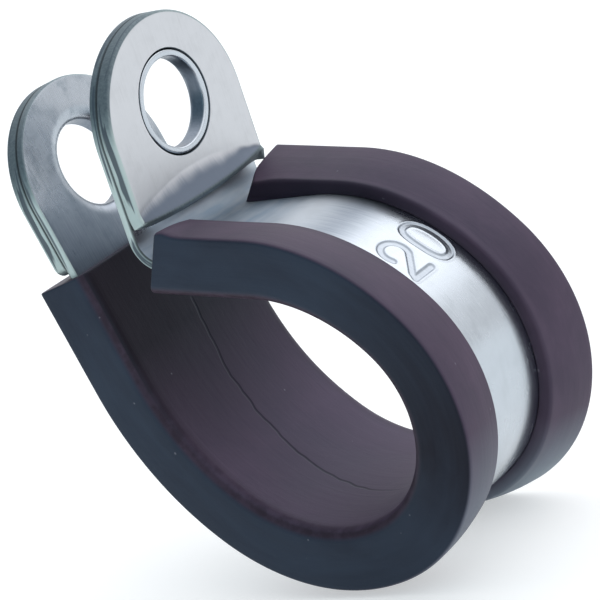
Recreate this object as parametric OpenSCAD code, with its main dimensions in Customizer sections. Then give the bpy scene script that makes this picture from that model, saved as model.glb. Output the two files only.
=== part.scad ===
// Rubber-lined P clip in its free, sprung-open state.
// The band is bent in the X-Z plane, the pipe runs along Y, the ears stand up along +Z.
// Origin: axis of the rear pipe seat, half way along the clip's width.

/* [Band] */
// Width of the steel band
band_w = 15; // [14:0.5:18]
// Thickness of the steel band
band_t = 0.7; // [0.5:0.05:0.9]
// Inside radius of the bend between the band and the upright ear
band_bend_r = 0.9; // [0.8:0.05:1.1]
// Slope of the band's straight run under the upright ear, down towards the loop
band_run_slope = 1; // [0.5:0.1:1.5]

/* [Loop] */
// Radius of the liner's bore on the rear seat, opposite the ears
seat_r = 7.8; // [7.2:0.1:9]
// Angle of the rear seat
seat_angle = 109; // [108:0.5:112]
// Bore radius of the upper arc
top_r = 12.2; // [11:0.1:14]
// Angle of the upper arc
top_angle = 46.5; // [45:0.5:48]
// Bore radius of the lower arc
bottom_r = 11; // [10.5:0.1:12]
// Angle of the lower arc
bottom_angle = 60; // [58:0.5:61]
// Bore radius of the arc that runs into the leaning ear
leg_r = 19.4; // [18:0.1:21]
// Angle of that arc
leg_angle = 33.2; // [32:0.1:34]
// Slope of the liner's straight run under the upright ear
run_slope = 8.3; // [7:0.1:10]
// Length of the straight run from the ear to the upper arc
run_l = 8.9; // [8.6:0.1:9.6]
// Length of the lined straight below the leaning ear
leg_l = 8.4; // [8:0.1:9]

/* [Ears] */
// Radius of the bolt holes, for an M6 bolt
hole_r = 3.2; // [3.1:0.05:3.3]
// Wall of the collar drawn up from the band round each hole
collar_t = 0.55; // [0.4:0.05:0.6]
// Distance from the hole's centre up to the centre of the ear's round end
end_drop = 1; // [0.5:0.1:1.5]
// Distance of the upright ear's inner face from the origin, along -X
upright_back = 11.2; // [11:0.05:11.5]
// Height of the upright ear's hole above the origin
upright_hole_z = 22.25; // [22:0.05:23]
// Distance from the band's lower arc to the leaning ear's hole
leaning_hole_l = 19.4; // [19.3:0.1:20.4]

/* [Ear plates] */
// Thickness of the ear plates
plate_t = 1.1; // [0.9:0.05:1.2]
// Outside radius that the bent plate's lower lip turns through
lip_r = 3.6; // [3.2:0.1:4]
// Angle of the lip
lip_angle = 38; // [34:1:40]
// Bow of the lip's free edge, from its ends to its middle
lip_bow = 0.9; // [0.6:0.1:1.1]
// Radius of the corners at the foot of the plates
foot_corner_r = 0.8; // [0.5:0.1:1]

/* [Liner] */
// Overall width of the liner
liner_w = 16.4; // [16:0.1:19]
// Rubber between the bore and the band, on the loop
base_t = 2.4; // [2.3:0.05:2.5]
// Width of each flange over the band's edge
flange_w = 4.5; // [4:0.1:5]
// Height of the flanges above the bore at their outer face
flange_h = 4.9; // [4.6:0.1:5.2]
// Height of the flanges above the bore at their inner edge
flange_inner_h = 4.2; // [4:0.05:4.6]
// Round of the bore's rims, taken as two flats
rim_r = 1; // [0.6:0.1:1]
// Slant of the liner's end next to the upright ear
end_slant = 20; // [16:1:24]

/* [Hidden] */
$fn = 96;

// Every second stretch of the loop is slimmer by this much all round, and runs
// on by lap_a degrees or lap mm into its neighbours, so that they join soundly.
slim = 0.01;
lap_a = 0.5;
lap = 0.1;

// angular position of each joint between arcs, seen along +Y, anticlockwise from +X
a_run = 90 - band_run_slope;
a_top = 90 - run_slope;
a_seat0 = a_top - top_angle;
a_seat1 = a_seat0 - seat_angle;
a_bottom = a_seat1 - bottom_angle;
a_leg = a_bottom - leg_angle;
function u(a) = [cos(a), sin(a)];
// centres of the arcs
c_top = -(top_r - seat_r) * u(a_seat0);
c_bottom = -(bottom_r - seat_r) * u(a_seat1);
c_leg = c_bottom - (leg_r - bottom_r) * u(a_bottom);

// on the loop the band lies between these heights above the bore
h0 = base_t;
h1 = base_t + band_t;
collar_r = hole_r + collar_t;
stack_t = band_t + plate_t;
// gap between a collar and its plate
plate_gap = 0.05;

// start of the liner's straight run, and its direction
run_start = c_top + top_r * u(a_top) - run_l * [sin(a_top), -cos(a_top)];
run_dir = [sin(a_top), -cos(a_top)];
// bend between the band's run and the upright ear: its centre, and the run's length
upright_x = -upright_back;
bend_x = upright_x + band_t + band_bend_r;
bend_z = (top_r + h1 + band_bend_r + c_top * u(a_run) - bend_x * u(a_run)[0]) / u(a_run)[1];
band_run_l = (c_top - [bend_x, bend_z]) * [sin(a_run), -cos(a_run)];
// distance from the band's lower arc to the liner's end, along the leg
leg_end = (c_leg - c_bottom) * [sin(a_leg), -cos(a_leg)] + leg_l;
// height at which the bent plate's lip begins
lip_z = 17.6;

// turns the X-Y drawing plane up into the X-Z plane
module side() { rotate([90, 0, 0]) children(); }

// a cross-section, drawn as [height above the bore, position across the width],
// swept round one arc from angular position a to b, and over by o degrees at both ends
module arc_run(c, r, a, b, o = 0) {
    translate(c) rotate([0, 0, b - o]) rotate_extrude(angle = a - b + 2 * o) translate([r, 0]) children();
}

// the same cross-section along the straight that touches that arc at a,
// from and to being distances clockwise from a
module straight_run(c, r, a, from, to) {
    translate(c) rotate([0, 0, a]) translate([r, -from, 0]) rotate([90, 0, 0])
        linear_extrude(to - from) children();
}

// the cross-section along the whole liner: child 0 full, child 1 slimmer
module liner_run() {
    straight_run(c_top, top_r, a_top, -run_l, 0) children(0);
    arc_run(c_top, top_r, a_top, a_seat0, lap_a) children(1);
    arc_run([0, 0], seat_r, a_seat0, a_seat1) children(0);
    arc_run(c_bottom, bottom_r, a_seat1, a_bottom, lap_a) children(1);
    arc_run(c_leg, leg_r, a_bottom, a_leg) children(0);
    straight_run(c_leg, leg_r, a_leg, -lap, leg_l) children(1);
}

// the cross-section along the band, from its bend to the leg; the leg itself
// is the foot of the leaning ear
module band_run() {
    straight_run(c_top, top_r, a_run, -band_run_l, 0) children(0);
    arc_run(c_top, top_r, a_run, a_seat0, lap_a) children(1);
    arc_run([0, 0], seat_r, a_seat0, a_seat1) children(0);
    arc_run(c_bottom, bottom_r, a_seat1, a_leg, lap_a) children(1);
}

module band_section(g) {
    translate([h0 + g, -band_w / 2 + g]) square([band_t - 2 * g, band_w - 2 * g]);
}

// what the band takes out of the liner: its own room, and the open channel over it
module slot_section(g) {
    f = liner_w / 2 - flange_w;
    band_section(g);
    translate([h0 + band_t / 2, -f - g]) square([6, 2 * (f + g)]);
}

// the liner's outer shape, with rubber up to the middle of the band
module liner_section(g) {
    w = liner_w / 2 - g;
    q = rim_r * 0.3;
    polygon([
        [g, -w + rim_r], [g, w - rim_r], [g + q, w - q], [g + rim_r, w],
        [flange_h - g, w], [flange_inner_h - g, liner_w / 2 - flange_w], [h0 + band_t / 2, liner_w / 2 - flange_w],
        [h0 + band_t / 2, -liner_w / 2 + flange_w], [flange_inner_h - g, -liner_w / 2 + flange_w], [flange_h - g, -w],
        [g + rim_r, -w], [g + q, -w + q]
    ]);
}

// the band's bend below the upright ear; g is taken off all round, o is its overrun
module bend_run(g, o) {
    translate([bend_x, 0, bend_z]) side() rotate([0, 0, 180 - o])
        rotate_extrude(angle = a_run + 2 * o)
            translate([band_bend_r + g, -band_w / 2 + g]) square([band_t - 2 * g, band_w - 2 * g]);
}

// the upper half of an ear's round end, about [0, 0]
module round_end() {
    intersection() {
        circle(r = band_w / 2);
        translate([-band_w, -0.5]) square([2 * band_w, band_w]);
    }
}

// outline of an ear: the round end, running down by l
module ear_outline(l) {
    round_end();
    translate([-band_w / 2, -l]) square([band_w, l]);
}

// the same with rounded corners at the foot
module plate_outline(l) {
    w = band_w / 2;
    c = foot_corner_r;
    round_end();
    difference() {
        translate([-w, -l]) square([band_w, l]);
        for (s = [-1, 1]) difference() {
            translate([s * w - c, -l - c]) square([2 * c, 2 * c]);
            translate([s * (w - c), -l + c]) circle(r = c);
        }
    }
}

// The collar as a solid about the bolt axis, from the band's inner face out to
// the plate's outer face, where it is spread into the plate's countersink.
// g is the clearance round it.
module collar_solid(g) {
    rotate_extrude() polygon([
        [0, 0], [collar_r + g, 0], [collar_r + g, stack_t - 0.3],
        [collar_r + 0.2 + g, stack_t - 0.05], [collar_r + 0.2 + g, stack_t + g], [0, stack_t + g]
    ]);
}

// the hole through band and collar, with the drawn-in round at the band's inner face
module bolt_hole() {
    rotate_extrude() difference() {
        translate([0, -1]) square([hole_r + 0.7, stack_t + 2]);
        translate([hole_r, 0.7]) square([1, stack_t + 2]);
        translate([hole_r + 0.7, 0.7]) circle(r = 0.7);
    }
}

// frame of the upright ear: local Z out through the plate, local Y up, hole at the origin
module upright_frame() { translate([upright_x, 0, upright_hole_z]) rotate([90, 0, 90]) children(); }

// frame of the leaning ear: the same, on the leg
module leaning_frame() {
    side() translate(c_bottom) rotate([0, 0, a_leg]) translate([bottom_r + h0, -leaning_hole_l, 0])
        rotate([0, 90, 0]) rotate([0, 0, 180]) children();
}

module strap() {
    color([0.74, 0.76, 0.79]) difference() {
        union() {
            side() band_run() { band_section(0); band_section(slim); }
            bend_run(slim, lap_a);
            upright_frame() translate([0, -end_drop, 0]) linear_extrude(band_t)
                ear_outline(upright_hole_z - end_drop - bend_z);
            leaning_frame() translate([0, -end_drop, 0]) linear_extrude(band_t)
                ear_outline(leaning_hole_l - end_drop);
            upright_frame() collar_solid(0);
            leaning_frame() collar_solid(0);
        }
        upright_frame() bolt_hole();
        leaning_frame() bolt_hole();
    }
}

module bent_ear_plate() {
    low = lip_z - lip_r * sin(lip_angle);
    bow_r = (pow(band_w / 2, 2) + pow(lip_bow, 2)) / (2 * lip_bow);
    color([0.82, 0.83, 0.84]) difference() {
        union() {
            upright_frame() translate([0, -end_drop, band_t]) linear_extrude(plate_t)
                ear_outline(upright_hole_z - end_drop - lip_z);
            translate([upright_x + stack_t + lip_r, 0, lip_z]) side() rotate([0, 0, 180])
                rotate_extrude(angle = lip_angle) translate([lip_r, -band_w / 2]) square([plate_t, band_w]);
        }
        upright_frame() collar_solid(plate_gap);
        // bowed free edge: lowest in the middle
        translate([upright_x - 5, 0, low]) rotate([0, 90, 0]) linear_extrude(12) difference() {
            translate([-lip_bow - 0.5, -10]) square([6, 20]);
            translate([-bow_r + 0.1, 0]) circle(r = bow_r, $fn = 240);
        }
    }
}

module straight_ear_plate() {
    color([0.8, 0.81, 0.83]) difference() {
        leaning_frame() translate([0, -end_drop, band_t]) linear_extrude(plate_t)
            plate_outline(leaning_hole_l - end_drop - leg_end - 0.2);
        leaning_frame() collar_solid(plate_gap);
    }
}

module rubber_liner() {
    r = 0.05;
    f = liner_w / 2 - flange_w;
    color([0.16, 0.15, 0.19]) difference() {
        side() liner_run() { liner_section(0); liner_section(slim); }
        side() band_run() { slot_section(0); slot_section(slim); }
        // the band's leg, and the channel over it
        leaning_frame() translate([-band_w / 2, -leaning_hole_l, 0]) cube([band_w, leaning_hole_l, band_t]);
        leaning_frame() translate([-f, -leaning_hole_l, band_t / 2]) cube([2 * f, leaning_hole_l, 6]);
        // slanted end next to the upright ear
        side() translate(run_start + 0.25 * run_dir) rotate([0, 0, -run_slope - end_slant])
            translate([-10, -3, -liner_w]) cube([10, 12, 2 * liner_w]);
        // room for the band's bend, with the channel over it
        translate([bend_x, 0, bend_z]) side() rotate([0, 0, 170]) rotate_extrude(angle = a_run + 14)
            translate([band_bend_r - r, -band_w / 2 - r]) square([band_t + 2 * r, band_w + 2 * r]);
        translate([bend_x - 3, -f, bend_z - band_bend_r - band_t / 2]) cube([3.3, 2 * f, 6]);
    }
}

strap();
bent_ear_plate();
straight_ear_plate();
rubber_liner();
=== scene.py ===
import math

import bmesh
import bpy
import numpy as np
from mathutils import Matrix, Vector
from mathutils.geometry import tessellate_polygon


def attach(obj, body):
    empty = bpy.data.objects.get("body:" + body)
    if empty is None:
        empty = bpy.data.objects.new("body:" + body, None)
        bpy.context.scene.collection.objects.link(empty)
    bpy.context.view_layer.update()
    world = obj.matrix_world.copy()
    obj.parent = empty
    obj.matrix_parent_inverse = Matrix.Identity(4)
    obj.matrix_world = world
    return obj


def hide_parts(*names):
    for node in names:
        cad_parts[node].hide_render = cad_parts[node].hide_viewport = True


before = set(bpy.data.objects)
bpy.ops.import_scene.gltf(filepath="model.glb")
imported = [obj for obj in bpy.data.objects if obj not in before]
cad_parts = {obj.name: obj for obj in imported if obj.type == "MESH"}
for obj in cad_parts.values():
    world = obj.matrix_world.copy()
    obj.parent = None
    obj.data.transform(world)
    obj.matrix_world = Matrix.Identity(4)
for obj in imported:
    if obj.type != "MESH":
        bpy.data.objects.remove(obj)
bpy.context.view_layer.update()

# All shapes below are worked out in millimetres in the row frame and scaled at the end.
MM = 1e-3
WHITE = (1.0, 1.0, 1.0)
# the dome's brightness from the horizon up, its tint on the camera's side and behind
DOME = (0.95, 1.0, 1.10, 1.22, 1.45, 1.55, 1.50)
FRONT, BACK = (0.13, 0.19, 0.23), (0.98, 0.98, 1.0)
DOME_STRENGTH = 1.0


# ---------------------------------------------------------------- camera
def camera():
    az, el, roll = math.radians(40.15), math.radians(15.46), math.radians(-18.72)
    back = Vector((math.sin(az) * math.cos(el), -math.cos(az) * math.cos(el), math.sin(el)))
    f = -back
    r = f.cross(Vector((0, 0, 1))).normalized()
    u = r.cross(f)
    c, s = math.cos(roll), math.sin(roll)
    r2, u2 = c * r + s * u, -s * r + c * u
    data = bpy.data.cameras.new("camera")
    data.sensor_width = 36.0
    data.lens = 3138.78 / 600.0 * 36.0
    data.clip_start, data.clip_end = 0.01, 20.0
    cam = bpy.data.objects.new("camera", data)
    bpy.context.scene.collection.objects.link(cam)
    loc = (Vector((-4.05, -0.37, 6.58)) + back * 221.91) * MM
    m = Matrix((r2, u2, back)).transposed().to_4x4()
    m.translation = loc
    cam.matrix_world = m
    bpy.context.scene.camera = cam


# ---------------------------------------------------------------- paths
class Path:
    """A chain of straights and arcs in the X-Z plane. Heights are to the left of travel."""

    def __init__(self, x, z, heading, parts, s0=0.0):
        self.k = []
        s, th = s0, math.radians(heading)
        for length, bend in parts:
            self.k.append((s, x, z, th, bend))
            if bend:
                r = 1.0 / bend
                x += r * (math.sin(th + length * bend) - math.sin(th))
                z -= r * (math.cos(th + length * bend) - math.cos(th))
                th += length * bend
            else:
                x += length * math.cos(th)
                z += length * math.sin(th)
            s += length
        self.end = s

    def at(self, s, h):
        """X and Z of a point s along the path and h to its left, and the left normal."""
        s = np.asarray(s, float)
        x, z, th = np.zeros_like(s), np.zeros_like(s), np.zeros_like(s)
        for i, (s0, x0, z0, t0, b) in enumerate(self.k):
            m = s >= s0 if i else np.ones_like(s, bool)
            d = np.where(m, s - s0, 0.0)
            if b:
                t = t0 + d * b
                xx = x0 + (np.sin(t) - math.sin(t0)) / b
                zz = z0 - (np.cos(t) - math.cos(t0)) / b
            else:
                t = np.full_like(s, t0)
                xx = x0 + d * math.cos(t0)
                zz = z0 + d * math.sin(t0)
            x, z, th = np.where(m, xx, x), np.where(m, zz, z), np.where(m, t, th)
        nx, nz = -np.sin(th), np.cos(th)
        return x + h * nx, z + h * nz, nx, nz


rad = math.radians
# the liner's bore, from its end at the upright ear round to its end at the leaning ear
BORE = Path(-10.641, 10.821, -8.3, [
    (8.9, 0), (rad(46.5) * 12.2, -1 / 12.2), (rad(109) * 7.8, -1 / 7.8),
    (rad(60) * 11, -1 / 11), (rad(33.2) * 19.4, -1 / 19.4), (9, 0)])
BORE_END = 64.8
# the band's inner face, down the upright ear, round the loop and up the leaning ear
TURN, BEND_R = 89.0, 2.4
RUN, BEND_Z = 7.8623 - 0.9827 * BEND_R, 12.2987 + 0.9827 * BEND_R
BEND_V = rad(TURN) * BEND_R
ARC_V = BEND_V + RUN
BAND = Path(-11.2, BEND_Z + 10, -90, [
    (10, 0), (BEND_V, 1 / BEND_R), (RUN, 0), (rad(TURN - 35.2) * 14.7, -1 / 14.7),
    (rad(109) * 10.3, -1 / 10.3), (rad(93.2) * 13.5, -1 / 13.5), (30, 0)], s0=-10.0)
LEG_V = ARC_V + rad(TURN - 35.2) * 14.7 + rad(109) * 10.3 + rad(93.2) * 13.5
UP_HOLE, LEAN_HOLE = BEND_Z - 22.25, LEG_V + 19.40
HALF, BAND_T, PLATE_T, STACK = 7.5, 0.7, 1.1, 1.8


def band_height(s):
    """Height of the band's inner face above the bore at s along the bore."""
    v = np.linspace(0.2, LEG_V + 12, 6000)
    bx, bz, _, _ = BAND.at(v, 0.0)
    x0, z0, nx, nz = BORE.at(s, 0.0)
    out = []
    for x, z, a, b in zip(x0, z0, nx, nz):
        h = (bx - x) * a + (bz - z) * b
        d = np.abs((bx - x) * b - (bz - z) * a)
        near = (h > -0.5) & (h < 6)
        i = np.argmin(np.where(near, d, 1e9))
        out.append(h[i])
    return np.array(out)


# ---------------------------------------------------------------- mesh helpers
class Sheet:
    """Collects patches of points with their attributes and welds them into one mesh."""

    def __init__(self):
        self.co, self.at, self.faces, self.n = [], [], [], 0

    def patch(self, co, at, flip=False, closed=False, mask=None):
        """co: rows x columns x 3 in mm. at: rows x columns x attributes."""
        r, c = co.shape[:2]
        idx = self.n + np.arange(r * c).reshape(r, c)
        self.n += r * c
        self.co.append(co.reshape(-1, 3))
        self.at.append(np.broadcast_to(at, co.shape[:2] + (at.shape[-1],)).reshape(r * c, -1))
        if closed:
            idx = np.concatenate([idx, idx[:, :1]], 1)
        a, b, d, e = idx[:-1, :-1], idx[:-1, 1:], idx[1:, 1:], idx[1:, :-1]
        q = np.stack([a, b, d, e], -1)
        if mask is not None:
            q = q[mask]
        q = q.reshape(-1, 4)
        if flip:
            q = q[:, ::-1]
        self.faces += q.tolist()

    def cap(self, co, at, flat):
        """Close an outline, split into triangles by its flat shape: points x 2."""
        k = len(co)
        tris = tessellate_polygon([[Vector((a, b, 0.0)) for a, b in flat]])
        self.faces += [[self.n + i for i in t] for t in tris]
        self.n += k
        self.co.append(np.asarray(co))
        self.at.append(np.broadcast_to(at, (k, np.shape(at)[-1])))

    def zip(self, pts, keys):
        """Join two rings of different counts. pts: two lists of (co, at), keys: their angles."""
        rings = []
        for (co, at), key in zip(pts, keys):
            o = np.argsort(key)
            rings.append((self.n + np.arange(len(o)), np.asarray(key)[o]))
            self.co.append(co[o])
            self.at.append(at[o])
            self.n += len(o)
        (ia, ka), (ib, kb) = rings
        i = j = 0
        na, nb = len(ia), len(ib)
        while i < na or j < nb:
            nxa = ka[i + 1] if i + 1 < na else ka[0] + 2 * math.pi if i < na else 9e9
            nxb = kb[j + 1] if j + 1 < nb else kb[0] + 2 * math.pi if j < nb else 9e9
            a, b = int(ia[i % na]), int(ib[j % nb])
            if i < na and (j >= nb or nxa <= nxb):
                self.faces.append([a, int(ia[(i + 1) % na]), b])
                i += 1
            else:
                self.faces.append([a, int(ib[(j + 1) % nb]), b])
                j += 1

    def build(self, name, names, weld=2e-6):
        co = np.concatenate(self.co) * MM
        at = np.concatenate(self.at)
        me = bpy.data.meshes.new(name)
        me.from_pydata(co.tolist(), [], self.faces)
        for k, nm in enumerate(names):
            if nm == "dev":
                a = me.attributes.new("dev", "FLOAT_VECTOR", "POINT")
                a.data.foreach_set("vector", np.ascontiguousarray(at[:, :3], np.float32).ravel())
            else:
                a = me.attributes.new(nm, "FLOAT", "POINT")
                a.data.foreach_set("value", np.ascontiguousarray(at[:, 2 + k], np.float32))
        bm = bmesh.new()
        bm.from_mesh(me)
        bmesh.ops.remove_doubles(bm, verts=bm.verts, dist=weld)
        bmesh.ops.dissolve_degenerate(bm, dist=1e-7, edges=bm.edges)
        bmesh.ops.recalc_face_normals(bm, faces=bm.faces)
        bm.to_mesh(me)
        bm.free()
        me.polygons.foreach_set("use_smooth", [True] * len(me.polygons))
        ob = bpy.data.objects.new(name, me)
        bpy.context.scene.collection.objects.link(ob)
        return ob


def smooth(x):
    x = np.clip(x, 0.0, 1.0)
    return x * x * (3 - 2 * x)


def waves(p, seed, scale, count=5):
    """Smooth, repeatable irregularity from a few plane waves; p is ... x k."""
    rng = np.random.RandomState(seed)
    out = 0.0
    for _ in range(count):
        d = rng.normal(size=p.shape[-1])
        d = d / np.linalg.norm(d) / scale * rng.uniform(0.6, 1.6)
        out = out + np.sin(p @ d * 2 * math.pi + rng.uniform(0, 6.28))
    return out / count


# ---------------------------------------------------------------- ear outline
def columns(fine):
    if fine:
        return np.concatenate([np.linspace(-7.1, -2.7, 13)[:-1], np.linspace(-2.7, 3.7, 101), np.linspace(3.7, 7.1, 11)[1:]])
    return np.linspace(-7.1, 7.1, 25)


def ear_bound(cols, pcut, inset, foot=0.0):
    """Closed outline of an ear about its hole: p is towards the tip, q across. The first
    len(cols) + 2 points are the cut line at p = -pcut, or a foot with corners of that radius."""
    w = HALF - inset
    pts = []
    if foot:
        pb, c = -pcut + inset, max(foot - inset, 0.02)
        n = 7
        a = np.linspace(0, math.pi / 2, n)
        for t in a:   # corner at +q, from the side round to the foot line
            pts.append((pb + c - c * math.sin(t), w - c + c * math.cos(t)))
        for q in cols[::-1]:
            q = np.clip(q, -(w - c) + 0.03, (w - c) - 0.03)
            pts.append((pb, q))
        for t in a[::-1]:
            pts.append((pb + c - c * math.sin(t), -w + c - c * math.cos(t)))
        low = pb + c
    else:
        pts.append((-pcut, w))
        for q in cols[::-1]:
            pts.append((-pcut, q))
        pts.append((-pcut, -w))
        low = -pcut
    head = len(pts)
    n = max(3, int((pcut - 1) / 0.45))
    for p in np.linspace(low, -1, n + 1)[1:]:
        pts.append((p, -w))
    for t in np.linspace(-math.pi / 2, math.pi / 2, 81)[1:-1]:
        pts.append((-1 + w * math.cos(t), w * math.sin(t)))
    for p in np.linspace(-1, low, n + 1)[:-1]:
        pts.append((p, w))
    return np.array(pts), head


def polar(bound, r0, rings, power=1.15):
    """Rings from a circle of radius r0 about the hole out to the outline: rings x K x 2."""
    d = np.linalg.norm(bound, axis=1, keepdims=True)
    inner = bound / d * r0
    t = np.linspace(0, 1, rings)[:, None, None] ** power
    return inner[None] * (1 - t) + bound[None] * t


def round_profile(r_top, r_bot, t0, t1, n=5):
    """(inset, height) from the top face's edge round to the bottom face's edge."""
    out = []
    for a in np.linspace(0, math.pi / 2, n):
        out.append((r_top * (1 - math.sin(a)), t1 - r_top * (1 - math.cos(a))))
    for a in np.linspace(0, math.pi / 2, n):
        out.append((r_bot * (1 - math.cos(a)), t0 + r_bot * (1 - math.sin(a))))
    return out


# ---------------------------------------------------------------- strap
def strokes():
    """The plain size number 20 as centre lines in (v, w), tops towards the upright ear."""
    vs = lambda s: ARC_V + 1.8729 + (s - 8.9) * 1.20489
    zero, two = [], []
    for t in np.linspace(0, 2 * math.pi, 60):
        c, s = math.cos(t), math.sin(t)
        e = 0.82
        zero.append((vs(15.82) + 1.82 * np.sign(c) * abs(c) ** e, 2.07 + 1.05 * np.sign(s) * abs(s) ** e))
    cy, top, w2 = -1.07, vs(14.46), 1.03
    for t in np.linspace(math.radians(205), math.radians(-38), 24):
        two.append((top + 1.0 - 1.0 * math.sin(t), cy + w2 * math.cos(t)))
    bottom = vs(17.24)
    two.append((bottom - 0.4, cy - w2 + 0.2))
    two.append((bottom, cy - w2 + 0.0))
    two.append((bottom, cy + w2 + 0.02))
    return [np.array(zero), np.array(two)]


def stroke_distance(v, w, lines):
    d = np.full(v.shape, 9.0)
    for ln in lines:
        for a, b in zip(ln[:-1], ln[1:]):
            e = b - a
            l2 = max(float(e @ e), 1e-12)
            t = np.clip(((v - a[0]) * e[0] + (w - a[1]) * e[1]) / l2, 0, 1)
            d = np.minimum(d, np.hypot(v - a[0] - t * e[0], w - a[1] - t * e[1]))
    return d


def stamped(v, w, lines):
    """Depth of the stamped figures, with the metal raised a little beside them."""
    box = (v > 15) & (v < 23) & (w > -3.2) & (w < 4.2)
    out, worn = np.zeros(v.shape), np.zeros(v.shape)
    if box.any():
        d = stroke_distance(v[box], w[box], lines)
        out[box] = -0.09 * (1 - smooth((d - 0.17) / 0.12)) + 0.016 * np.exp(-((d - 0.36) / 0.08) ** 2)
        worn[box] = 0.27 * (1 - smooth((d - 0.26) / 0.08)) + 0.26 * np.exp(-((d - 0.26) / 0.07) ** 2)
    return out, worn


def edge_painted_shade(p, w):
    """Painted shade on an ear's sheared edge, which also makes it rougher: up its shoulder on one side, and all of the
    other.
    """
    k = smooth((w + 1.0) / 4.0)
    return 0.8 * smooth((p + 1.5) / 4.0) * (1 - k) + 0.5 * k


def meet(at, form):
    """Give the first and last row of an edge the values of the faces that they touch."""
    for row in (0, -1):
        at[row, :, 3] = 0.0
        at[row, :, 4] = form[row]


def band_map(v, w, n):
    x, z, _, _ = BAND.at(v, n)
    return np.stack([x, w, z], -1)


def strip_form(v):
    """How dull the band is along its length: the rubbed stretch before the figures, the leg."""
    rubbed = 0.62 * np.exp(-((v - ARC_V - 4.76) / 2.1) ** 2)
    return np.maximum(rubbed, 0.55 * smooth((v - LEG_V - 2) / 8) * (v > LEG_V))


def build_strap():
    sh = Sheet()
    lines = strokes()
    fine, coarse = columns(True), columns(False)
    rt, rb = 0.12, 0.14
    prof = round_profile(rt, rb, 0.0, BAND_T)
    cut = {"up": 6.6, "lean": 8.2}
    dull = {"up": lambda p: 0.0 * p, "lean": lambda p: 0.14 + 0.42 * smooth((2.0 - p) / 8.0)}
    vs = {}
    for ear, sign, vh in (("up", -1, UP_HOLE), ("lean", 1, LEAN_HOLE)):
        vs[ear] = vh - sign * cut[ear]

        def dev(pq, n, vh=vh, sign=sign):
            return vh + sign * pq[..., 0], pq[..., 1], n

        def put(pq, n, edge, form=0.0, flip=False, mask=None):
            v, w, n = dev(pq, n)
            n = np.broadcast_to(n, v.shape)
            at = np.stack([v, w, n, np.broadcast_to(edge, v.shape), np.broadcast_to(form, v.shape)], -1)
            sh.patch(band_map(v, w, n), at, closed=True, flip=flip, mask=mask)

        # outer and inner face
        foot = []
        for cols, face, r0, inset, n in ((fine, "out", 3.72, rt, BAND_T), (coarse, "in", 4.35, rb, 0.0)):
            b, _ = ear_bound(cols, cut[ear], inset)
            pq = polar(b, r0, 14)
            d = np.linalg.norm(pq, axis=-1)
            put(pq, np.full(pq.shape[:2], n), 0.0, dull[ear](pq[..., 0]))
            unit = b / np.linalg.norm(b, axis=1, keepdims=True)
            r = 3.72 if face == "out" else 3.71
            v, w, n1 = dev(unit * r, np.full(len(unit), BAND_T))
            shade = dull[ear](unit[:, 0] * r) if face == "out" else np.ones(len(unit))
            foot.append(((band_map(v, w, n1), np.stack([v, w, n1, np.zeros_like(v), shade], -1)),
                         np.arctan2(unit[:, 1], unit[:, 0])))
            if face == "in":   # drawn-in round, wall, rounded top, outside of the collar
                prf = [(4.35 - 1.15 * math.cos(a), 0.72 - 0.72 * math.sin(a)) for a in np.linspace(math.pi / 2, 0, 12)]
                prf += [(3.2, 1.1), (3.2, 1.45)]
                prf += [(3.2 + 0.2 * (1 - math.cos(a)), 1.60 + 0.2 * math.sin(a)) for a in np.linspace(0, math.pi / 2, 6)]
                prf += [(3.5, 1.805)]
                prf += [(3.60 + 0.11 * math.sin(a), 1.69 + 0.11 * math.cos(a)) for a in np.linspace(0, math.pi / 2, 5)]
                prf += [(3.71, 1.2), (3.71, 0.7)]
                rr = np.array([p[0] for p in prf])[:, None, None]
                nn = np.array([p[1] for p in prf])
                ring = unit[None] * rr
                # Painted shade: the collar's wall inside the hole is painted darker, and its outside, in the narrow
                # gap to the plate, fully dark; both also get rougher.
                collar_wall_shade = np.clip((nn - 0.2) / 0.5, 0, 1) * np.clip((1.75 - nn) / 0.15, 0, 1)
                gap = ((np.arange(len(nn)) >= len(nn) - 2) * 1.0)[:, None]
                put(ring, np.broadcast_to(nn[:, None], ring.shape[:2]), 0.0, np.maximum(np.maximum(0.8 * collar_wall_shade[:, None], gap), dull[ear](ring[..., 0])))
        sh.zip([f[0] for f in foot], [f[1] for f in foot])
        # rim of the ear
        rim = []
        for d, n in prof:
            b, head = ear_bound(coarse, cut[ear], d)
            rim.append(np.concatenate([b[head - 1:], b[:1]]))
        rim = np.array(rim)
        v = vh + sign * rim[..., 0]
        w = rim[..., 1]
        n = np.broadcast_to(np.array([p[1] for p in prof])[:, None], v.shape)
        # the rim's form is painted shade on its sheared edge
        at = np.stack([v, w, n, np.ones_like(v), edge_painted_shade(rim[..., 0], w)], -1)
        meet(at, dull[ear](rim[..., 0]))
        sh.patch(band_map(v, w, n), at)

    # the strip between the ears
    v0, v1 = vs["up"], vs["lean"]
    rows = np.unique(np.round(np.concatenate([
        np.linspace(v0, 0.0, 4), np.linspace(0.0, BEND_V, 18), np.linspace(BEND_V, ARC_V, 14), np.linspace(ARC_V, 16.5, 30), np.linspace(16.5, 21.9, 92),
        np.linspace(21.9, LEG_V, 115), np.linspace(LEG_V, v1, 12)]), 6))
    for cols, n, inset in ((fine, BAND_T, rt), (coarse, 0.0, rb)):
        q = np.concatenate([[-(HALF - inset)], cols, [HALF - inset]])
        v, w = np.meshgrid(rows, q, indexing="ij")
        nn = np.full(v.shape, n)
        form = strip_form(v)
        if n:
            dn, worn = stamped(v, w, lines)
            nn, form = nn + dn, form + worn
        at = np.stack([v, w, nn, np.zeros_like(v), form], -1)
        sh.patch(band_map(v, w, nn), at)
    for side in (-1, 1):
        d = np.array([p[0] for p in prof])
        h = np.array([p[1] for p in prof])
        v = np.broadcast_to(rows[None], (len(d), len(rows)))
        w = np.broadcast_to((side * (HALF - d))[:, None], v.shape)
        n = np.broadcast_to(h[:, None], v.shape)
        at = np.stack([v, w, n, np.ones_like(v), np.zeros_like(v)], -1)
        meet(at, strip_form(v))
        sh.patch(band_map(v, w, n), at)
    return sh.build("band_look", ["dev", "edge", "form"])


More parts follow.
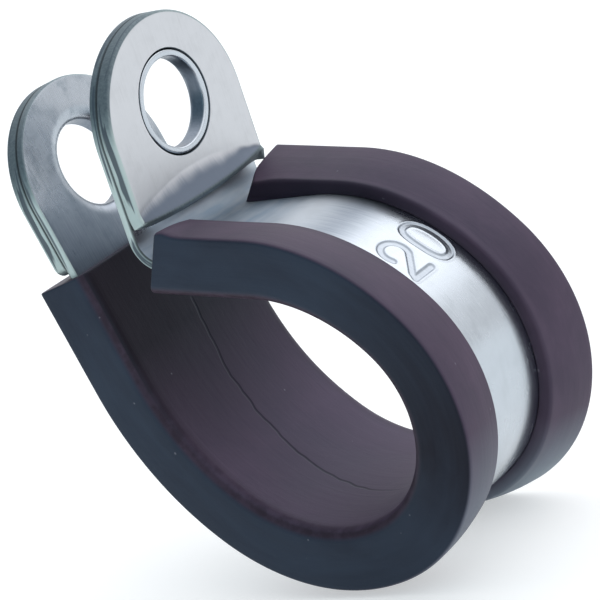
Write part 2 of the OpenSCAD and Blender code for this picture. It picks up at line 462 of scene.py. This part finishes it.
# ---------------------------------------------------------------- ear plates
def plate_faces(sh, place, cols, pcut, foot, open_foot, seed):
    """Outer and inner face, hole wall and rim of a flat plate. place maps (p, q, n) to a point."""
    rt, rb = 0.22, 0.08
    prof = round_profile(rt, rb, BAND_T, STACK, 6)
    hole = 3.83
    for inset, n, r0 in ((rt, STACK, hole + 0.05), (rb, BAND_T, hole + 0.05)):
        b, head = ear_bound(cols, pcut, inset, foot)
        pq = polar(b, r0, 18)
        nn = np.full(pq.shape[:2], n)
        at = np.stack([pq[..., 0], pq[..., 1], nn, np.zeros_like(nn), np.zeros_like(nn)], -1)
        sh.patch(place(pq[..., 0], pq[..., 1], nn), at, closed=True)
    u0, u1 = (b / np.linalg.norm(b, axis=1, keepdims=True) for b in (ear_bound(cols, pcut, i, foot)[0] for i in (rt, rb)))
    prf = [(hole + 0.05, STACK), (hole + 0.015, STACK - 0.015), (hole, STACK - 0.05), (hole, BAND_T + 0.05), (hole + 0.05, BAND_T)]
    rr = np.array([p[0] for p in prf])[:, None, None]
    nn = np.broadcast_to(np.array([p[1] for p in prf])[:, None], (len(prf), len(u0)))
    part = np.linspace(0, 1, len(prf))[:, None, None]
    unit = u0[None] * (1 - part) + u1[None] * part
    ring = unit / np.linalg.norm(unit, axis=-1, keepdims=True) * rr
    # Painted shade: the hole's wall, hidden in the narrow gap round the collar, is painted dark.
    at = np.stack([ring[..., 0], ring[..., 1], nn, np.full_like(nn, 0.6), np.full_like(nn, 0.8)], -1)
    meet(at, np.zeros(nn.shape))
    sh.patch(place(ring[..., 0], ring[..., 1], nn), at, closed=True)
    rim = []
    for d, n in prof:
        b, head = ear_bound(cols, pcut, d, foot)
        rim.append(np.concatenate([b[head - 1:], b[:1]]) if open_foot else b)
    rim = np.array(rim)
    n = np.broadcast_to(np.array([p[1] for p in prof])[:, None], rim.shape[:2])
    # the rim's form is painted shade on its sheared edge
    at = np.stack([rim[..., 0], rim[..., 1], n, np.ones_like(n), edge_painted_shade(rim[..., 0], rim[..., 1])], -1)
    meet(at, np.zeros(n.shape))
    sh.patch(place(rim[..., 0], rim[..., 1], n), at, closed=not open_foot)
    return prof


def build_bent_plate():
    sh = Sheet()
    cols = np.linspace(-7.0, 7.0, 57)
    pcut = 4.0

    def flat(p, q, n):
        return np.stack([-11.2 + n, q, 22.25 + p], -1)

    prof = plate_faces(sh, flat, cols, pcut, 0.0, True, 3)
    rt, rb = prof[0][0], prof[-1][0]

    # the lip: the outer face's line per column, then points set back along its normal
    def lip(q, t):
        """Outer face of the lip at q across and t from 0, the cut line, to 1, its free edge."""
        top = 22.25 - pcut
        zs = 17.6 - 1.2 * ((q + 0.7) / 7.0) ** 2
        ze = 15.56 + 0.05 * q / HALF + 0.30 * (np.abs(q) / HALF) ** 2.2
        z = top + (ze - top) * t
        end = 0.82 * np.clip(1 - (q / 7.7) ** 2, 0, 1) ** 0.8 + 0.06
        k = np.clip((zs - z) / (zs - ze), 0, 1)
        return -11.2 + STACK + end * k ** 1.22, z

    def lip_point(q, t, depth):
        x, z = lip(q, t)
        x2, z2 = lip(q, t - 0.01)
        dx, dz = x - x2, z - z2
        ln = np.hypot(dx, dz)
        nx, nz = -dz / ln, dx / ln      # outward normal of the outer face
        return x - nx * depth, z - nz * depth

    # Painted shade: the bent lip is painted darker from a ragged top line down to its free edge, where it faces dark
    # surroundings; it is also made rougher.
    def lip_painted_shade(q, z):
        top = 17.8 - np.where(q < -0.7, 0.55, 1.2) * ((q + 0.7) / 7.0) ** 2
        rough = 0.12 * waves(np.stack([q, z], -1), 4, 2.5)
        return smooth((top - z + rough) / (1.25 - 0.9 * smooth((q - 2.0) / 4.0)))

    ts = np.linspace(0, 1, 31)
    qs = lambda inset: np.concatenate([[-(HALF - inset)], cols, [HALF - inset]])
    # end profile: the sheared free edge, the same round as the rim
    for inset, depth in ((rt, 0.0), (rb, PLATE_T)):
        q = qs(inset)
        t, qq = np.meshgrid(ts, q, indexing="ij")
        tt = t * (1 - inset / 2.8)
        x, z = lip_point(qq, np.maximum(tt, 0.0101 * 0), np.full(tt.shape, depth))
        x[0], z[0] = -11.2 + STACK - depth, 22.25 - pcut
        at = np.stack([z - 22.25, qq, np.full(x.shape, STACK - depth), np.zeros_like(x), lip_painted_shade(qq, z)], -1)
        sh.patch(np.stack([x, qq, z], -1), at)
    # free edge and the two sides of the lip
    rows = []
    for d, n in prof:
        q = qs(d)
        x, z = lip_point(q, np.full(q.shape, 1 - d / 2.8), np.full(q.shape, STACK - n))
        rows.append(np.stack([x, q, z], -1))
    rows = np.array(rows)
    nn = np.broadcast_to(np.array([p[1] for p in prof])[:, None], rows.shape[:2])
    # Painted shade: the downward-facing free edge of the lip is painted dark.
    at = np.stack([rows[..., 2] - 22.25, rows[..., 1], nn, np.ones_like(nn), 0.8 * np.ones_like(nn)], -1)
    meet(at, lip_painted_shade(rows[..., 1], rows[..., 2]))
    sh.patch(rows, at)
    for side in (-1, 1):
        rows = []
        for d, n in prof:
            q = np.full(ts.shape, side * (HALF - d))
            tt = ts * (1 - d / 2.8)
            x, z = lip_point(q, tt, np.full(ts.shape, STACK - n))
            x[0], z[0] = -11.2 + n, 22.25 - pcut
            rows.append(np.stack([x, q, z], -1))
        rows = np.array(rows)
        nn = np.broadcast_to(np.array([p[1] for p in prof])[:, None], rows.shape[:2])
        # the lip's sides get painted shade on their sheared edge
        at = np.stack([rows[..., 2] - 22.25, rows[..., 1], nn, np.ones_like(nn), edge_painted_shade(rows[..., 2] - 22.25, rows[..., 1])], -1)
        meet(at, lip_painted_shade(rows[..., 1], rows[..., 2]))
        sh.patch(rows, at)
    return sh.build("upright_plate_look", ["dev", "edge", "form"])


def build_straight_plate():
    sh = Sheet()
    cols = np.linspace(-6.6, 6.6, 27)

    def flat(p, q, n):
        return band_map(LEAN_HOLE + p, q, n)

    # the foot ends just above the liner
    x, z, _, _ = BORE.at(np.array([BORE_END]), 0.0)
    bx, bz, nx, nz = BAND.at(np.array([LEAN_HOLE]), 0.0)
    tx, tz = math.cos(rad(103)), math.sin(rad(103))
    gap = float((bx[0] - x[0]) * tx + (bz[0] - z[0]) * tz)
    plate_faces(sh, flat, cols, gap - 0.3, 0.8, False, 5)
    return sh.build("leaning_plate_look", ["dev", "edge", "form"])


# ---------------------------------------------------------------- liner
def build_liner():
    s_list = np.concatenate([
        [0.0, 0.03, 0.09, 0.2], np.linspace(0.4, 8.9, 32), np.linspace(8.9, 64.2, 200)[1:],
        [64.45, 64.62, 64.71, 64.77, 64.8]])
    # the end is slanted, so the slot there follows the band where the slot ends up
    h0 = band_height(s_list + (0.25 + 2.6 * math.tan(rad(16))) * np.clip(1 - s_list / 7.0, 0, 1) ** 1.5)
    # keep the slot clear of the band's bend at the near end
    inset = np.zeros(len(s_list))
    inset[0], inset[1], inset[2] = 0.09, 0.03, 0.008
    inset[-1], inset[-2], inset[-3] = 0.09, 0.03, 0.008

    def outline(s, b, g):
        """Half of the section on side g (-1 camera side, +1 far side): from the bore's middle
        out over the rim, up the flange, down the channel wall and round the band's edge."""
        hb, w = b, 8.2
        out_h = 4.66 if g < 0 else 5.16 - 0.16 * math.exp(-((s - 19) / 6.0) ** 2)
        in_h = 4.2 if g < 0 else 4.27
        if g > 0:
            in_h -= 0.34 * math.exp(-(s / 2.6) ** 2)
        if g < 0:
            out_h += 0.28 * math.exp(-((s - 0.8) / 1.3) ** 2)
            in_h += 0.22 * math.exp(-((s - 22) / 6.0) ** 2)
        pts = [(0.0, 0.0), (0.0, 1.6), (0.0, 3.2), (0.0, 4.8), (0.0, 6.0), (0.0, 6.8)]
        r = 0.95
        for a in np.linspace(0, math.pi / 2, 9):
            pts.append((r - r * math.cos(a), w - r + r * math.sin(a)))
        pts += [(1.6, w), (2.6, w), (3.6, w)]
        c = 0.26
        for a in np.linspace(0, math.pi / 2, 6):
            pts.append((out_h - c + c * math.sin(a), w - c + c * math.cos(a)))
        inner = 3.7
        ri = 0.32
        n = 9
        for k in np.linspace(0.08, 0.9, n):     # crowned top
            y = w - c + (inner + ri - (w - c)) * k
            pts.append((out_h + (in_h - out_h) * k + 0.11 * math.sin(math.pi * k), y))
        for a in np.linspace(0, math.pi / 2, 6):
            pts.append((in_h - ri + ri * math.cos(a), inner + ri - ri * math.sin(a)))
        top = hb + BAND_T + 0.015
        pts.append((max(top + 0.12, min(in_h - ri - 0.1, top + 0.5)), inner))
        pts.append((top + 0.05, inner + 0.01))
        pts.append((top, inner + 0.06))
        pts += [(top, 5.4), (top, 7.56), (hb - 0.015, 7.56), (hb - 0.015, 5.0), (hb - 0.015, 2.4), (hb - 0.015, 0.0)]
        p = np.array(pts)
        p[:, 1] *= g
        return p

    rings = []
    for i, s in enumerate(s_list):
        b = float(np.clip(h0[i], 0.95, 2.95))
        a, c = outline(s, b, -1), outline(s, b, 1)
        # closed section: along the camera side and back along the far side
        p = np.concatenate([a, c[-2:0:-1]])
        if inset[i]:
            t = np.roll(p, -1, 0) - np.roll(p, 1, 0)
            t /= np.maximum(np.linalg.norm(t, axis=1, keepdims=True), 1e-9)
            mid = np.stack([t[:, 1], -t[:, 0]], 1)
            area = 0.5 * np.sum(p[:, 0] * np.roll(p[:, 1], -1) - np.roll(p[:, 0], -1) * p[:, 1])
            p = p - mid * inset[i] * (1 if area > 0 else -1)
        rings.append(p)
    P = np.array(rings)
    h, y = P[..., 0], P[..., 1]
    s = np.broadcast_to(s_list[:, None], h.shape).copy()
    # slanted end beside the upright ear, a little steeper at the camera side
    phi = np.radians(np.where(y < 0, 19.0, 13.0) + (19.0 - 13.0) * 0)
    blend = smooth((y + 3.7) / 7.4)
    phi = np.radians(19.0 * (1 - blend) + 13.0 * blend)
    fade = np.clip(1 - s / 7.0, 0, 1) ** 1.5
    s = s + (0.25 + np.clip(h, 0, 6) * np.tan(phi)) * fade
    nib = np.exp(-((y - 3.7) / 0.9) ** 2) * (h > 2.4) * np.clip((h - 2.0) / 2.2, 0, 1)
    s = s + 0.85 * nib * np.clip(1 - s_list[:, None] / 4.0, 0, 1) ** 2
    # gentle irregularity of extruded rubber
    f = np.stack([s * 0.9, y * 0.6, h * 0.6], -1)
    keep = smooth((np.abs(y) - 3.0) / 1.5) * 0.6 + 0.4
    slot = (h > 0.9) & (np.abs(y) < 7.7) & (h < 4.0)
    dh = np.where(slot, 0.0, 0.045 * waves(f, 7, 9.0) * keep)
    dy = np.where(slot | (np.abs(y) < 4), 0.0, 0.035 * waves(f, 8, 11.0))
    x, z, _, _ = BORE.at(s, h + dh)
    co = np.stack([x, y + dy, z], -1)
    # kind: 0 outer skin, 1 bore
    bore = smooth((0.9 - h) / 0.5) * (np.abs(y) < 7.9)
    # Painted shade: rim marks the rounded edge from the faces into the bore, which the material paints nearly black.
    rim = np.exp(-((h - 0.35) / 0.45) ** 2) * smooth((np.abs(y) - 7.0) / 0.4)
    seam_y = np.interp(s, [33, 35.2, 40.3, 44.1, 47.6, 51.5, 55.2, 58.8, 65], [-2.6, -2.3, -1.15, -1.1, -0.55, -0.25, 0.3, 0.6, 0.9])
    at = np.stack([s, y - 0 * seam_y, h, bore, rim], -1)
    sh = Sheet()
    sh.patch(co, at, closed=True)
    sh.cap(co[0], at[0], P[0])
    sh.cap(co[-1], at[-1], P[-1])
    return sh.build("liner_look", ["dev", "bore", "rim"])


# ---------------------------------------------------------------- materials
class Nodes:
    def __init__(self, name):
        self.m = bpy.data.materials.new(name)
        self.m.use_nodes = True
        self.t = self.m.node_tree
        for n in list(self.t.nodes):
            self.t.nodes.remove(n)

    def new(self, kind, **kw):
        n = self.t.nodes.new(kind)
        for k, v in kw.items():
            setattr(n, k, v)
        return n

    def link(self, a, b):
        self.t.links.new(a, b)

    def math(self, op, a, b=None, c=None):
        n = self.new("ShaderNodeMath", operation=op)
        for i, v in enumerate((a, b, c)):
            if v is None:
                continue
            if hasattr(v, "node"):
                self.link(v, n.inputs[i])
            else:
                n.inputs[i].default_value = v
        return n.outputs[0]

    def attr(self, name):
        return self.new("ShaderNodeAttribute", attribute_type="GEOMETRY", attribute_name=name)

    def scaled(self, vec, sx, sy, sz):
        n = self.new("ShaderNodeMapping")
        n.inputs["Scale"].default_value = (sx, sy, sz)
        self.link(vec, n.inputs["Vector"])
        return n.outputs[0]

    def noise(self, vec, scale, detail=3.0, rough=0.55, distort=0.0):
        n = self.new("ShaderNodeTexNoise")
        n.inputs["Scale"].default_value = scale
        n.inputs["Detail"].default_value = detail
        n.inputs["Roughness"].default_value = rough
        n.inputs["Distortion"].default_value = distort
        self.link(vec, n.inputs["Vector"])
        return n.outputs["Fac"]

    def ramp(self, fac, stops, interp="LINEAR"):
        n = self.new("ShaderNodeValToRGB")
        n.color_ramp.interpolation = interp
        e = n.color_ramp.elements
        while len(e) > 1:
            e.remove(e[-1])
        e[0].position, e[0].color = stops[0][0], tuple(stops[0][1]) + (1,)
        for p, c in stops[1:]:
            k = e.new(p)
            k.color = tuple(c) + (1,)
        self.link(fac, n.inputs["Fac"])
        return n.outputs["Color"]

    def value_range(self, fac, a, b, lo, hi):
        n = self.new("ShaderNodeMapRange")
        n.inputs["From Min"].default_value = a
        n.inputs["From Max"].default_value = b
        n.inputs["To Min"].default_value = lo
        n.inputs["To Max"].default_value = hi
        self.link(fac, n.inputs["Value"])
        return n.outputs["Result"]

    def mix(self, fac, a, b, mode="MIX"):
        n = self.new("ShaderNodeMix", data_type="RGBA", blend_type=mode)
        for sock, v in ((n.inputs["Factor"], fac), (n.inputs["A"], a), (n.inputs["B"], b)):
            pass
        ins = [i for i in n.inputs if i.enabled]
        for i, v in zip(ins, (fac, a, b)):
            if hasattr(v, "node"):
                self.link(v, i)
            elif isinstance(v, (int, float)):
                i.default_value = v
            else:
                i.default_value = tuple(v) + (1,)
        return [o for o in n.outputs if o.enabled][0]

    def bump(self, height, strength, distance, normal=None):
        n = self.new("ShaderNodeBump")
        n.inputs["Strength"].default_value = strength
        n.inputs["Distance"].default_value = distance
        self.link(height, n.inputs["Height"])
        if normal is not None:
            self.link(normal, n.inputs["Normal"])
        return n.outputs["Normal"]


def steel(name, tint, rough, along, scuff=False):
    """Zinc-plated sheet: along is the rolling direction in the developed sheet, 0 or 1. With
    scuff, the stretch below the bend is rubbed dull."""
    k = Nodes(name)
    bsdf = k.new("ShaderNodeBsdfPrincipled")
    out = k.new("ShaderNodeOutputMaterial")
    k.link(bsdf.outputs[0], out.inputs[0])
    dev = k.attr("dev").outputs["Vector"]
    edge = k.attr("edge").outputs["Fac"]
    form = k.attr("form").outputs["Fac"]
    # fine lines along the rolling direction, and soft mottling of the plating
    fine = k.noise(k.scaled(dev, *((0.35, 9, 4) if along == 0 else (9, 0.35, 4))), 1.0, 4, 0.6)
    broad = k.noise(k.scaled(dev, *((0.12, 1.4, 1) if along == 0 else (1.4, 0.12, 1))), 1.0, 2, 0.5)
    mottle = k.noise(k.scaled(dev, 0.55, 0.55, 0.55), 1.0, 3, 0.6)
    grain = k.noise(k.scaled(dev, 14, 14, 14), 1.0, 2, 0.5)
    base = k.ramp(k.math("ADD", k.math("MULTIPLY", mottle, 0.65), k.math("MULTIPLY", fine, 0.35)),
                  [(0.32, tuple(0.90 * t for t in tint)), (0.5, tint), (0.7, tuple(min(1, 1.045 * t) for t in tint))])
    # form darkens the metal and makes it rougher: the rubbed stretch, the leg and leaning ear, the stamped figures,
    # worked metal in the collars, and painted shade on the lip, in and round the collars and on the ears' sheared
    # edges
    band = k.math("MULTIPLY", k.math("MULTIPLY", form, k.math("SUBTRACT", 1.0, form)), 2.4)
    form = k.math("ADD", form, k.math("MULTIPLY", band, k.math("SUBTRACT", fine, 0.5)))
    base = k.mix(form, base, tuple(t * f for t, f in zip(tint, (0.24, 0.28, 0.34))))
    sep = k.new("ShaderNodeSeparateXYZ")
    k.link(dev, sep.inputs[0])
    rub = None
    if scuff:
        rub = k.math("MULTIPLY", k.value_range(sep.outputs[0], -0.5, 1.0, 0.0, 1.0), k.value_range(sep.outputs[0], 6.5, 10.5, 1.0, 0.0))
        streak = k.noise(k.scaled(dev, 1.3, 0.35, 1), 1.0, 2, 0.5)
        base = k.mix(k.math("MULTIPLY", rub, k.value_range(streak, 0.33, 0.67, 0.35, 0.85)), base, (0.27, 0.36, 0.46))
        k.link(k.math("SUBTRACT", 1.0, k.math("MULTIPLY", rub, 0.30)), bsdf.inputs["Metallic"])
        # stains on the leaning ear
        stain = k.noise(k.scaled(dev, 0.32, 0.42, 1), 1.0, 4, 0.62, 0.5)
        stain = k.math("MULTIPLY", k.value_range(stain, 0.50, 0.66, 0.0, 0.5), k.value_range(sep.outputs[0], 60, 64, 0.0, 1.0))
        base = k.mix(stain, base, (0.20, 0.25, 0.29))
    # sheared edges: a bright burnished zone with darker torn patches; its green cast is painted light, standing in for
    # the teal front light
    tear = k.noise(k.scaled(dev, 0.16, 0.16, 1.5), 1.0, 2, 0.5, 0.4)
    torn = k.value_range(tear, 0.53, 0.58, 0.0, 1.0)
    deep = sep.outputs[2]
    mid = k.math("MAXIMUM",
                 k.math("MULTIPLY", k.value_range(deep, 0.10, 0.22, 0.0, 1.0), k.value_range(deep, 0.46, 0.56, 1.0, 0.0)),
                 k.math("MULTIPLY", k.value_range(deep, 0.88, 1.00, 0.0, 1.0), k.value_range(deep, 1.48, 1.60, 1.0, 0.0)))
    edge_col = k.mix(k.math("MULTIPLY", torn, mid), (0.50, 0.60, 0.59), (0.11, 0.14, 0.16))
    # Painted shade: form paints the sheared edges darker on the ears' shoulders, along the far side and on the lip's
    # free edge.
    edge_col = k.mix(form, edge_col, (0.10, 0.13, 0.16))
    # Painted shade: a near-black line at depth 0.68, in the groove where the band and the plate meet.
    seam = k.value_range(k.math("ABSOLUTE", k.math("SUBTRACT", deep, 0.68)), 0.05, 0.17, 1.0, 0.0)
    edge_col = k.mix(k.math("MULTIPLY", seam, 0.85), edge_col, (0.03, 0.04, 0.045))
    base = k.mix(k.math("MULTIPLY", edge, 0.94), base, edge_col)
    k.link(base, bsdf.inputs["Base Color"])
    if not scuff:
        bsdf.inputs["Metallic"].default_value = 1.0
    r = k.math("ADD", k.math("MULTIPLY", fine, 0.10), k.math("MULTIPLY", mottle, 0.14))
    r = k.math("ADD", r, rough - 0.12)
    r = k.math("ADD", r, k.math("MULTIPLY", edge, 0.24))
    r = k.math("ADD", r, k.math("MULTIPLY", form, 0.14))
    if scuff:
        soft = k.math("MULTIPLY", k.value_range(sep.outputs[0], -0.5, 1.0, 0.0, 1.0), k.value_range(sep.outputs[0], 9.5, 16, 1.0, 0.0))
        r = k.math("ADD", r, k.math("MULTIPLY", soft, 0.28))
    k.link(r, bsdf.inputs["Roughness"])
    hgt = k.math("ADD", k.math("MULTIPLY", fine, 0.6), k.math("MULTIPLY", grain, 0.25))
    n1 = k.bump(broad, 0.35, 0.00003)
    n2 = k.bump(hgt, 0.35, 0.000006, n1)
    k.link(n2, bsdf.inputs["Normal"])
    return k.m


def rubber(name):
    k = Nodes(name)
    bsdf = k.new("ShaderNodeBsdfPrincipled")
    out = k.new("ShaderNodeOutputMaterial")
    k.link(bsdf.outputs[0], out.inputs[0])
    dev = k.attr("dev").outputs["Vector"]
    bore = k.attr("bore").outputs["Fac"]
    rim = k.attr("rim").outputs["Fac"]
    cloud = k.noise(k.scaled(dev, 0.22, 0.3, 0.3), 1.0, 4, 0.6, 0.3)
    lines = k.noise(k.scaled(dev, 0.06, 3.2, 3.2), 1.0, 3, 0.55)
    grain = k.noise(k.scaled(dev, 11, 11, 11), 1.0, 3, 0.6)
    base = k.ramp(cloud, [(0.3, (0.048, 0.032, 0.050)), (0.5, (0.061, 0.040, 0.062)), (0.72, (0.078, 0.051, 0.078))])
    base = k.mix(k.math("MULTIPLY", bore, 0.42), base, (0.130, 0.090, 0.148))
    # Painted shade: the rounded edge from the faces into the bore is painted nearly black, in a ragged line.
    ragged = k.noise(k.scaled(dev, 1.1, 1.1, 1.1), 1.0, 3, 0.6)
    rimmed = k.math("MULTIPLY", rim, k.value_range(ragged, 0.4, 0.6, 0.55, 1.0))
    base = k.mix(k.math("MULTIPLY", rimmed, 0.75), base, (0.020, 0.009, 0.011))
    sep0 = k.new("ShaderNodeSeparateXYZ")
    k.link(dev, sep0.inputs[0])
    # Painted shadow: the bore is painted nearly black towards its end under the leaning ear, where it lies in shadow.
    deep = k.math("MULTIPLY", k.value_range(sep0.outputs[0], 47, 58, 0.0, 0.96), bore)
    base = k.mix(deep, base, (0.012, 0.007, 0.009))
    shade = k.math("MULTIPLY", k.value_range(k.math("ABSOLUTE", sep0.outputs[1]), 3.85, 4.1, 0.6, 0.0), k.value_range(sep0.outputs[2], 2.4, 2.8, 0.0, 1.0))
    shade = k.math("MULTIPLY", shade, k.value_range(sep0.outputs[0], 11, 16, 1.0, 0.2))
    base = k.mix(shade, base, (0.012, 0.006, 0.011))
    # painted light: the two flat faces are painted darker with a teal cast that stands in for the cool front light,
    # darker and less teal from about 14 to 31 along
    side = k.value_range(k.math("ABSOLUTE", sep0.outputs[1]), 8.08, 8.19, 0.0, 1.0)
    far = k.math("MULTIPLY", k.value_range(sep0.outputs[0], 14, 24, 0.0, 1.0), k.value_range(sep0.outputs[0], 25.5, 31, 1.0, 0.0))
    wide = k.noise(k.scaled(dev, 0.12, 0.2, 0.35), 1.0, 3, 0.6, 0.4)
    cool = k.math("SUBTRACT", k.value_range(wide, 0.3, 0.7, 0.7, 1.25), far)
    face = k.mix(k.value_range(cool, 0.0, 1.2, 0.0, 1.0), (0.006, 0.002, 0.005), (0.023, 0.031, 0.049))
    base = k.mix(side, base, face)
    # painted reflection: the outer flange low on the loop is painted lighter and bluer, standing in for the bright
    # floor it faces at a grazing angle
    along = k.math("ADD", sep0.outputs[0], k.value_range(sep0.outputs[1], -4, 4, 3.0, 0.0))
    floor_reflection_paint = k.math("MULTIPLY", k.value_range(along, 27.5, 31.5, 0.0, 1.0), k.value_range(along, 34, 42, 1.0, 0.0))
    floor_reflection_paint = k.math("MULTIPLY", floor_reflection_paint, k.value_range(sep0.outputs[1], -4, 4, 0.5, 0.85))
    floor_reflection_paint = k.math("MULTIPLY", floor_reflection_paint, k.value_range(sep0.outputs[2], 3.0, 4.6, 0.0, 1.0))
    floor_reflection_paint = k.math("MULTIPLY", floor_reflection_paint, k.math("SUBTRACT", 1.0, side))
    base = k.mix(floor_reflection_paint, base, (0.16, 0.205, 0.24))
    # dust specks and small pits
    vor = k.new("ShaderNodeTexVoronoi")
    vor.inputs["Scale"].default_value = 1.0
    k.link(k.scaled(dev, 0.55, 0.55, 0.55), vor.inputs["Vector"])
    speck = k.value_range(vor.outputs["Distance"], 0.035, 0.06, 1.0, 0.0)
    pick = k.value_range(k.noise(k.scaled(dev, 0.9, 0.9, 0.9), 1.0, 1, 0.5), 0.50, 0.56, 0.0, 1.0)
    speck = k.math("MULTIPLY", speck, pick)
    base = k.mix(k.math("MULTIPLY", speck, 0.35), base, (0.30, 0.29, 0.33))
    # flow line along the bore
    sep = k.new("ShaderNodeSeparateXYZ")
    k.link(dev, sep.inputs[0])
    line = k.math("ADD", sep.outputs[1], k.math("MULTIPLY", k.math("SUBTRACT", 58.8, sep.outputs[0]), 0.105))
    wob = k.noise(k.scaled(dev, 0.35, 0.0, 0.0), 1.0, 2, 0.5)
    line = k.math("ADD", line, k.math("MULTIPLY", k.math("SUBTRACT", wob, 0.5), 0.9))
    line = k.math("ABSOLUTE", k.math("SUBTRACT", line, 0.6))
    seam = k.math("MULTIPLY", k.value_range(line, 0.05, 0.16, 1.0, 0.0), bore)
    span = k.math("MULTIPLY", k.value_range(sep.outputs[0], 35, 39, 0.0, 1.0), k.value_range(sep.outputs[0], 58, 62, 1.0, 0.0))
    seam = k.math("MULTIPLY", seam, span)
    base = k.mix(k.math("MULTIPLY", seam, 0.7), base, (0.012, 0.009, 0.014))
    k.link(base, bsdf.inputs["Base Color"])
    r = k.math("ADD", k.math("MULTIPLY", cloud, 0.16), k.math("MULTIPLY", lines, 0.10))
    k.link(k.math("ADD", r, 0.40), bsdf.inputs["Roughness"])
    bsdf.inputs["Specular IOR Level"].default_value = 0.4
    bsdf.inputs["IOR"].default_value = 1.38
    bsdf.inputs["Specular Tint"].default_value = (0.68, 0.95, 1.3, 1.0)
    h = k.math("ADD", k.math("MULTIPLY", grain, 0.5), k.math("MULTIPLY", lines, 0.8))
    h = k.math("SUBTRACT", h, k.math("MULTIPLY", seam, 2.0))
    h = k.math("ADD", h, k.math("MULTIPLY", speck, 0.8))
    k.link(k.bump(h, 0.5, 0.00003, k.bump(cloud, 0.5, 0.0001)), bsdf.inputs["Normal"])
    return k.m


def floor_material():
    k = Nodes("floor_paper")
    bsdf = k.new("ShaderNodeBsdfPrincipled")
    out = k.new("ShaderNodeOutputMaterial")
    k.link(bsdf.outputs[0], out.inputs[0])
    co = k.new("ShaderNodeTexCoord").outputs["Object"]
    n = k.noise(k.scaled(co, 30, 30, 30), 1.0, 2, 0.5)
    # a lit white table, so the underside gets some light as well
    k.link(k.ramp(n, [(0.3, (0.62, 0.63, 0.63)), (0.7, (0.64, 0.65, 0.65))]), bsdf.inputs["Base Color"])
    k.link(k.ramp(n, [(0.3, (0.97, 0.99, 1.0)), (0.7, (0.99, 1.0, 1.0))]), bsdf.inputs["Emission Color"])
    bsdf.inputs["Emission Strength"].default_value = 0.46
    bsdf.inputs["Roughness"].default_value = 0.9
    return k.m


# ---------------------------------------------------------------- stage
def stage():
    """A plain pale floor, wide enough to fill every view from above."""
    z0, r = -13.12 * MM, 3.0
    vs = [(r * math.cos(a), r * math.sin(a), z0) for a in np.linspace(0, 2 * math.pi, 97)[:-1]]
    me = bpy.data.meshes.new("floor")
    me.from_pydata(vs, [], [list(range(len(vs)))])
    me.update()
    ob = bpy.data.objects.new("floor", me)
    bpy.context.scene.collection.objects.link(ob)
    me.materials.append(floor_material())


def area(name, loc, target, size, power, colour=WHITE, size_y=None, spread=None):
    data = bpy.data.lights.new(name, "AREA")
    data.energy = power
    data.color = colour
    data.shape = "RECTANGLE"
    data.size = size
    data.size_y = size_y or size
    if spread:
        data.spread = math.radians(spread)
    ob = bpy.data.objects.new(name, data)
    bpy.context.scene.collection.objects.link(ob)
    ob.location = loc
    ob.rotation_mode = "QUATERNION"
    ob.rotation_quaternion = (Vector(target) - Vector(loc)).to_track_quat("-Z", "Y")
    return ob


def lights():
    """A soft studio: a dome that is bright above and behind the clip and dim on the camera's
    side, with two soft boxes."""
    w = bpy.data.worlds.new("studio")
    bpy.context.scene.world = w
    w.use_nodes = True
    t = w.node_tree
    bg = t.nodes["Background"]
    co = t.nodes.new("ShaderNodeTexCoord")
    sep = t.nodes.new("ShaderNodeSeparateXYZ")
    t.links.new(co.outputs["Generated"], sep.inputs[0])
    up = t.nodes.new("ShaderNodeValToRGB")
    e = up.color_ramp.elements
    e[0].position, e[0].color = 0.0, (DOME[0],) * 3 + (1,)
    e[1].position, e[1].color = 1.0, (DOME[-1],) * 3 + (1,)
    for pos, v in zip((0.12, 0.3, 0.45, 0.6, 0.8), DOME[1:-1]):
        k = e.new(pos)
        k.color = (v, v, v, 1)
    t.links.new(sep.outputs[2], up.inputs["Fac"])
    side = t.nodes.new("ShaderNodeMapRange")
    side.interpolation_type = "SMOOTHSTEP"
    side.inputs["From Min"].default_value = -0.70
    side.inputs["From Max"].default_value = 0.10
    lean = t.nodes.new("ShaderNodeMath")
    lean.operation = "MULTIPLY_ADD"
    t.links.new(sep.outputs[0], lean.inputs[0])
    lean.inputs[1].default_value = 0.45
    t.links.new(sep.outputs[1], lean.inputs[2])
    t.links.new(lean.outputs[0], side.inputs["Value"])
    tint = t.nodes.new("ShaderNodeValToRGB")
    e = tint.color_ramp.elements
    e[0].position, e[0].color = 0.0, FRONT + (1,)
    e[1].position, e[1].color = 1.0, BACK + (1,)
    t.links.new(side.outputs["Result"], tint.inputs["Fac"])
    mul = t.nodes.new("ShaderNodeMix")
    mul.data_type, mul.blend_type = "RGBA", "MULTIPLY"
    ins = [i for i in mul.inputs if i.enabled]
    ins[0].default_value = 1.0
    t.links.new(up.outputs["Color"], ins[1])
    t.links.new(tint.outputs["Color"], ins[2])
    t.links.new([o for o in mul.outputs if o.enabled][0], bg.inputs["Color"])
    bg.inputs["Strength"].default_value = DOME_STRENGTH
    c = (0, 0, 0.005)
    area("back_soft", (0.06, 0.50, 0.44), c, 0.55, 0.55, (1.0, 0.985, 1.0))
    area("front_fill", (-0.15, -0.60, 0.20), c, 0.35, 0.20, (0.50, 0.92, 1.0))


# ---------------------------------------------------------------- assemble
camera()
stage()
lights()

strap = build_strap()
plate_up = build_bent_plate()
plate_lean = build_straight_plate()
liner = build_liner()

band_mat = steel("band_zinc", (0.50, 0.545, 0.59), 0.25, 0, scuff=True)
plate_mat = steel("plate_zinc", (0.555, 0.57, 0.595), 0.36, 0)
liner_mat = rubber("liner_epdm")

for ob, mat, node, slot in (
        (strap, band_mat, "strap", "band_steel"),
        (plate_up, plate_mat, "bent_ear_plate", "plate_steel"),
        (plate_lean, plate_mat, "straight_ear_plate", "plate_steel"),
        (liner, liner_mat, "rubber_liner", "liner_rubber")):
    ob.data.materials.append(mat)
    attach(ob, "root")
    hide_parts(node)

bpy.context.scene.view_settings.view_transform = "Standard"
